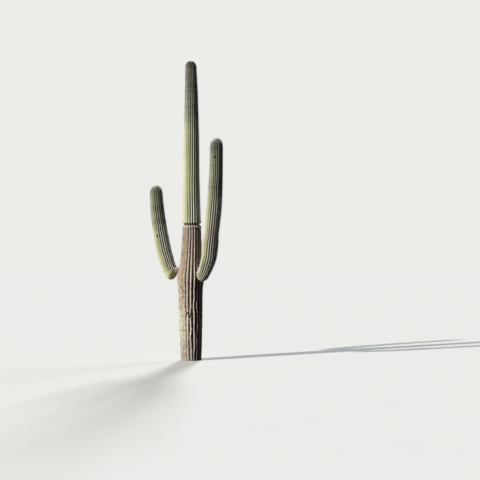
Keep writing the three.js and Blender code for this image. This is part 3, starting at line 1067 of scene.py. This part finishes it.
def skin_bump(n, marks, corky):
    """Plates with fissures between them and a rough grain on cork, and a faint grain on green skin."""
    plates = n.times(n.between(0.0, 0.10, marks["plates"]), 0.9)
    relief = n.times(n.math("ADD", plates, marks["grain"]), corky)
    bump = n.tree.nodes.new("ShaderNodeBump")
    bump.inputs["Strength"].default_value = 0.5
    bump.inputs["Distance"].default_value = 0.004
    n.put(bump.inputs["Height"], n.math("ADD", relief, n.times(marks["grain"], 0.15)))
    return bump.outputs["Normal"]


def skin_material():
    """Green skin that turns to cork along a ragged edge, with callus, wool and painted shade in hollows over
    it.
    """
    material, tree, shader = new_material("saguaro_skin")
    n = Nodes(tree)
    marks = skin_marks(n)
    ragged = n.times(n.math("SUBTRACT", marks["patchy"], 0.5), 0.7)
    corky = n.between(0.38, 0.62, n.math("ADD", n.mask("cork"), ragged))
    color = n.mix(corky, green_skin(n, marks), cork_skin(n, marks))
    color = n.tint(color, n.between(0.15, 0.7, n.mask("scar")), 0.9, CALLUS)
    color = n.tint(color, n.mask("wool"), 0.95, WOOL)
    # Painted shade in the hollows
    color = n.mix(n.between(0.1, 0.75, n.mask("hollow")), color, HOLLOW_SHADE_COLOR)
    n.put(shader.inputs["Base Color"], color)
    rough = n.math("ADD", 0.56, n.times(corky, 0.34))
    uneven = n.times(n.math("SUBTRACT", marks["grain"], 0.5), 0.2)
    n.put(shader.inputs["Roughness"], n.math("ADD", rough, uneven))
    n.put(shader.inputs["Normal"], skin_bump(n, marks, corky))
    return material


def floor_material():
    """Pale where it is looked at, and darker to the light that it throws back on the plant."""
    material, tree, shader = new_material("pale_floor")
    n = Nodes(tree)
    pale = n.mix(n.noise(0.6, 3), FLOOR_PALE, FLOOR_PALER)
    seen = tree.nodes.new("ShaderNodeLightPath").outputs["Is Camera Ray"]
    n.put(shader.inputs["Base Color"], n.mix(seen, FLOOR_BOUNCE, pale))
    shader.inputs["Roughness"].default_value = 0.9
    shader.inputs["Specular IOR Level"].default_value = 0.0
    return material


# The scene round the plant

def add_camera():
    data = bpy.data.cameras.new("camera")
    data.lens = CAMERA_LENS
    data.sensor_width = SENSOR
    data.clip_end = FAR_CLIP
    camera = bpy.data.objects.new("camera", data)
    camera.location = CAMERA_PLACE
    camera.rotation_euler = (math.radians(90), 0, 0)
    bpy.context.scene.collection.objects.link(camera)
    bpy.context.scene.camera = camera


def add_sun(sun):
    data = bpy.data.lights.new(sun["name"], "SUN")
    data.energy = sun["strength"]
    data.angle = math.radians(sun["angle"])
    data.color = sun["color"]
    light = bpy.data.objects.new(sun["name"], data)
    light.rotation_euler = (math.radians(90 - sun["elevation"]), 0, math.radians(sun["azimuth"]))
    bpy.context.scene.collection.objects.link(light)


def add_surroundings():
    corners = FLOOR_HALF * np.array([[-1, -1, 0], [1, -1, 0], [1, 1, 0], [-1, 1, 0]])
    floor = mesh_object("floor", corners, [np.array([[0, 1, 2, 3]])], floor_material(), is_smooth=False)
    for sun in SUNS:
        add_sun(sun)
    add_world()


def add_world():
    """A weak even light, and a paler backdrop that only the camera sees."""
    world = bpy.data.worlds.new("studio")
    bpy.context.scene.world = world
    world.use_nodes = True
    tree = world.node_tree
    light = tree.nodes["Background"]
    light.inputs["Color"].default_value = SKY_BLUE
    light.inputs["Strength"].default_value = EVEN_LIGHT
    backdrop = tree.nodes.new("ShaderNodeBackground")
    backdrop.inputs["Color"].default_value = BACKDROP
    seen = tree.nodes.new("ShaderNodeLightPath")
    mix = tree.nodes.new("ShaderNodeMixShader")
    tree.links.new(seen.outputs["Is Camera Ray"], mix.inputs[0])
    tree.links.new(light.outputs[0], mix.inputs[1])
    tree.links.new(backdrop.outputs[0], mix.inputs[2])
    tree.links.new(mix.outputs[0], tree.nodes["World Output"].inputs["Surface"])


# The plant

def add_stem(stem, nodes, looks):
    """A stem's skins in place of its solids, with all that grows on them."""
    name = stem["name"]
    rng = np.random.default_rng(SEEDS[name])
    grid = surface(stem, rng)
    pieces = add_skins(stem, grid, looks["skin"])
    for piece in pieces:
        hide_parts(*nodes)
    groups = sorted_pads(name, pads_of(stem, grid, rng))
    for ending, group, add, kind, look in growth(name):
        if len(groups[group]["place"]) > 0:
            pieces.append(add(name + "_" + ending, groups[group], kind, looks[look], rng))
    for piece in pieces:
        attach(piece, "root")


bpy.context.scene.view_settings.view_transform = "Standard"
looks = {name: plain(name, color, roughness) for name, (color, roughness) in PLAIN_LOOKS.items()}
add_camera()
add_surroundings()
looks["skin"] = skin_material()
add_stem(trunk_stem(), ["trunk"], looks)
for arm_name in ARMS:
    add_stem(arm_stem(arm_name), [arm_name, arm_name + "_bend"], looks)
